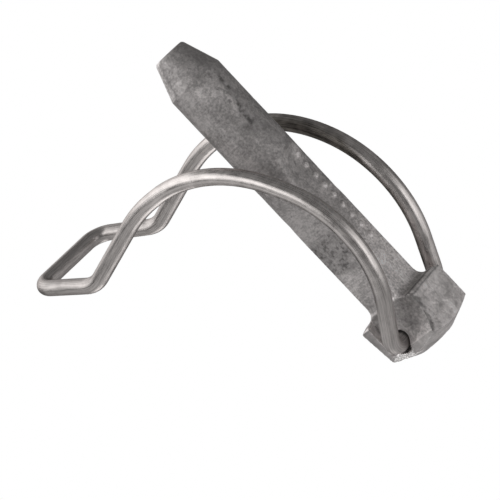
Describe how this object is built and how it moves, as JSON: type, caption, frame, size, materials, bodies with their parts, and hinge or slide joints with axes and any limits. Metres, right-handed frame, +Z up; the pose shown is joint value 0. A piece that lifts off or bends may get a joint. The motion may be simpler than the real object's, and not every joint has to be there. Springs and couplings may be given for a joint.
{
  "type": "wire-lock hitch pin",
  "caption": "Forged steel hitch pin with a pointed round shank, a square drilled head and a sprung wire bail that swings over the point to lock it.",
  "frame": {"origin": "centre of the flat on the end of the head", "axes": "+Z up the shank's axis to the point; Y along the bail's hinge; the open bail leans towards -X at rest"},
  "size_m": [0.0987, 0.0366, 0.0997],
  "materials": {
    "forged_steel": "forged and tumbled, matte mid grey with darker scale marks",
    "spring_wire": "drawn spring wire, satin with fine lengthwise lines"
  },
  "bodies": {
    "forged_pin": {"forged_pin": "forged_steel"},
    "wire_bail": {"wire_bail": "spring_wire"}
  },
  "joints": [
    {"name": "bail_hinge", "type": "hinge", "parent": "forged_pin", "child": "wire_bail", "pos_m": [-0.0022, 0, 0.0061], "axis": [0, 1, 0], "range_deg": [-130, 47]}
  ]
}
